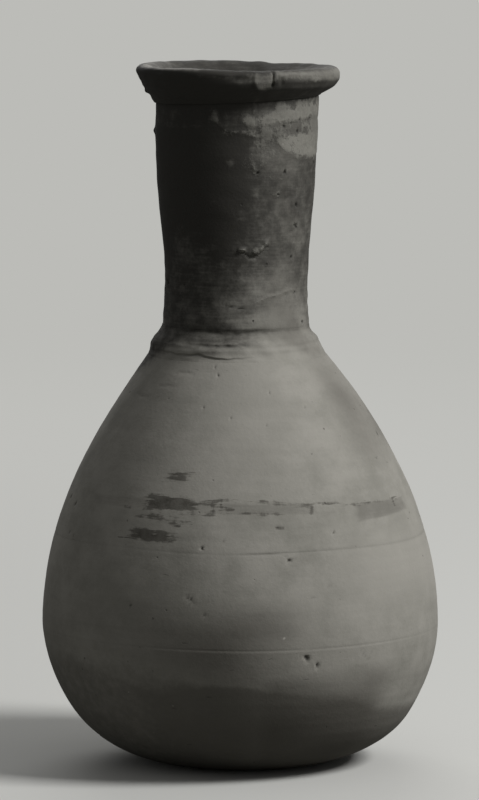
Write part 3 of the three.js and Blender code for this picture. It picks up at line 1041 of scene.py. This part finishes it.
def earthenware(name, roughness, grit):
    """Unglazed earthenware, wiped with a wet hand: matt and mottled, with level wipe marks, grit, pits
    and soil. Painted shade darkens the grooves and pits along with their soil, the belly, with some
    smudge, and the shoulder's sides, and two places are painted paler as light. The brushed band is
    mostly worn off, the foot is darkened, with painted light at its left, and the neck's dark slip is
    worn to specks on one side, with pale crust there and pale highlights painted on the knot of grit.
    Grit is how plainly the dark specks show."""
    material = bpy.data.materials.new(name)
    tree = empty_tree(material)
    place = add(tree, "TexCoord", take="Object")
    seen = {}
    for noise, (size, detail, rough, longer, tilt) in NOISES.items():
        drawn_out = {"Vector": place, "Rotation": (0, math.radians(tilt), 0), "Scale": (1, 1, longer)}
        at = add(tree, "Mapping", drawn_out)
        inputs = {"Vector": at, "Scale": per_metre(size), "Detail": detail, "Roughness": rough}
        seen[noise] = add(tree, "TexNoise", inputs)
    for field in FIELDS:
        seen[field] = add(tree, "Attribute", attribute_name=field, take="Fac")

    def mix(**weights):
        return [(seen[pattern], weight) for pattern, weight in weights.items()]

    def shows(low, high, bottom=0, top=1, **weights):
        return share(tree, mix(**weights), low, high, bottom, top)

    # Specks lie on places shifted a little each way, so that no two have one shape
    jolt = add(tree, "TexNoise", {"Vector": place, "Scale": per_metre(0.9)}, take="Color")
    shifted = {0: jolt, 1: (0.5 * MM,) * 3, 2: place}
    uneven = add(tree, "VectorMath", shifted, operation="MULTIPLY_ADD")
    turned = {"Vector": uneven, "Rotation": (0, math.radians(38), 0), "Scale": (1, 1, 4)}
    tilted = add(tree, "Mapping", turned)
    dark_grit = specks(tree, uneven, 2.4, 0.26, 0.3, shows(0.35, 0.6, 0.08, grit, mottle=1))
    dashes = specks(tree, tilted, 5, 0.7, 0.1, shows(0.3, 0.7, 0.1, 0.45, grain=1))
    pale_grit = specks(tree, uneven, 3.7, 0.28, 0.16, shows(0.4, 0.6, 0.15, 0.6, clouds=1))

    # What lies on the clay, and the painted light and shade, each layer over the one before
    kept = shows(0.3, 0.65, 0.95, 0.72, ragged=1)
    patchy = shows(0.45, 0.85, 1, 0.5, mottle=0.7, ragged=0.6)
    crust = shows(3.9, 5, 0, patchy, crust=1, mottle=3.4, ragged=4, grain=1.2)
    layers = [
        (shows(0.8, 1.35, clouds=0.9, mottle=0.8, wipes=0.25, grain=0.2), CLAY_LIGHT),
        # Painted light on the belly's right and the shoulder's front
        (seen["pale"], CLAY_LIGHT),
        # Painted shade on the shoulder's sides, and shade with some smudge on the belly
        (shows(0.25, 1.25, damp=1, mottle=0.35, ragged=0.15), DARK_TONE_AND_SHADE),
        # The darker foot, kept lighter at the left as painted light
        (shows(0.6, 1.7, 0, 0.72, foot=1, mottle=0.8, ragged=0.9), DARK_TONE_AND_SHADE),
        (shows(0.65, 1.8, 0, 0.42, wash=1, streaks=0.7, ragged=0.4), PAINT_BROWN),
        (shows(1.52, 1.88, 0, kept, paint=1, streaks=1.1, scrapes=1.1, ragged=1.2), PAINT_BROWN),
        (shows(0.9, 1.7, slip=1, mottle=0.5, ragged=0.6, streaks=0.3, grain=0.2), SLIP),
        # Pale crust, and highlights painted on the knot's lumps
        (crust, PALE_CRUST_AND_HIGHLIGHT),
        # Painted shade and soil in the grooves, the fold and under the torn edge
        (seen["shade_and_soil"], SOIL_AND_SHADE),
        (dark_grit, SOIL_AND_SHADE),
        (dashes, SOIL_AND_SHADE),
        (pale_grit, LIME),
        # Painted shade and soil in the pits
        (seen["pit"], SOIL_AND_SHADE),
    ]
    surface = CLAY_SHADE
    for amount, tint in layers:
        surface = add(tree, "Mix", {0: amount, 6: surface, 7: tint}, take=2, data_type="RGBA")

    # Heights in mm: grain, wipe marks and crust stand up, and grit holes and dashes go down
    heights = mix(grain=0.04, ragged=0.035, wipes=0.02, mottle=0.06)
    heights += [(crust, 0.06), (dark_grit, -0.1), (dashes, -0.05)]
    bump = add(tree, "Bump", {"Height": summed(tree, heights), "Strength": 1, "Distance": MM})
    finish = {"Base Color": surface, "Roughness": roughness, "IOR": 1.5, "Normal": bump}
    shader = add(tree, "BsdfPrincipled", finish)
    add(tree, "OutputMaterial", {"Surface": shader})
    return material


# Stage, light and camera

BACKDROP = colour("#bcbcb8")
FLOOR_SEEN = colour("#d8d8d4")
FLOOR_BOUNCE = colour("#767672")


def make_floor(reach):
    """A plain pale floor. Far off it takes the backdrop's tone, so that no edge shows, and the light
    it throws on the bottle is weaker than it looks."""
    mesh = bpy.data.meshes.new("floor")
    ends = [(-reach, -reach, 0), (reach, -reach, 0), (reach, reach, 0), (-reach, reach, 0)]
    mesh.from_pydata(ends, [], [(0, 1, 2, 3)])
    material = bpy.data.materials.new("matt_backdrop_paper")
    tree = empty_tree(material)
    seen = add(tree, "LightPath", take="Is Camera Ray")
    tint = add(tree, "Mix", {0: seen, 6: FLOOR_BOUNCE, 7: FLOOR_SEEN}, take=2, data_type="RGBA")
    paper = add(tree, "BsdfDiffuse", {"Color": tint})
    place = add(tree, "TexCoord", take="Object")
    away = add(tree, "VectorMath", {0: place}, take="Value", operation="LENGTH")
    far = share(tree, [(away, 1)], 0.12, 0.75, 0, seen)
    glow = add(tree, "Emission", {"Color": BACKDROP, "Strength": 1})
    both = add(tree, "MixShader", {0: far, 1: paper, 2: glow})
    add(tree, "OutputMaterial", {"Surface": both})
    mesh.materials.append(material)
    put("floor", mesh)


def aim(thing, target):
    """Turns a lamp or a camera so that its own -Z points at a target."""
    thing.rotation_euler = (Vector(target) - thing.location).to_track_quat("-Z", "Y").to_euler()


def make_lamp(name, azimuth, elevation, distance, size, power):
    """A square soft lamp aimed at the bottle's middle. Azimuth is degrees from the front to +X."""
    data = bpy.data.lights.new(name, "AREA")
    data.shape = "SQUARE"
    data.size = size
    data.energy = power
    lamp = put(name, data)
    azimuth, elevation = map(math.radians, (azimuth, elevation))
    flat = distance * math.cos(elevation)
    middle = HEIGHT * MM / 2
    over = middle + distance * math.sin(elevation)
    lamp.location = (flat * math.sin(azimuth), -flat * math.cos(azimuth), over)
    aim(lamp, (0, 0, middle))


def make_world():
    """An even dim fill from all round, with a pale backdrop where the camera sees it."""
    world = bpy.data.worlds.new("studio")
    tree = empty_tree(world)
    fill = add(tree, "Background", {"Color": (1, 1, 1, 1), "Strength": 0.16})
    backdrop = add(tree, "Background", {"Color": BACKDROP, "Strength": 1})
    seen = add(tree, "LightPath", take="Is Camera Ray")
    both = add(tree, "MixShader", {0: seen, 1: fill, 2: backdrop})
    add(tree, "OutputWorld", {"Surface": both})
    bpy.context.scene.world = world


def make_camera(back, up, target, lens, sensor):
    """The photograph's view: from a little above, through a long lens, which is in millimetres."""
    data = bpy.data.cameras.new("camera")
    data.lens = lens
    data.sensor_width = sensor
    camera = put("camera", data)
    camera.location = (0, -back, up)
    aim(camera, (0, 0, target))
    bpy.context.scene.camera = camera


# The whole


def dress(made, node, material):
    """Gives a made piece its stains, painted light and shade, and finish, and lets it stand for its frame
    node.
    """
    piece = made[0]
    write_fields(made)
    piece.data.materials.append(material)
    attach(piece, "root")
    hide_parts(node)


make_camera(back=1.02, up=0.175, target=0.0624, lens=268, sensor=36)
make_floor(reach=9)
make_lamp("key", azimuth=69, elevation=40, distance=0.9, size=0.3, power=6.6)
make_lamp("back_fill", azimuth=184, elevation=30, distance=0.9, size=0.6, power=2.4)
make_world()

clay = earthenware("wheel_thrown_earthenware", 0.9, grit=0.5)
slipped = earthenware("slip_darkened_earthenware", 0.78, grit=0.85)
dress(make_lower_body(), "lower_body", clay)
dress(make_upper_body(), "upper_body", clay)
dress(make_luting_coil(), "luting_coil", clay)
dress(make_neck(), "neck", slipped)
dress(make_rim(), "rim", slipped)

bpy.context.scene.view_settings.view_transform = "Standard"
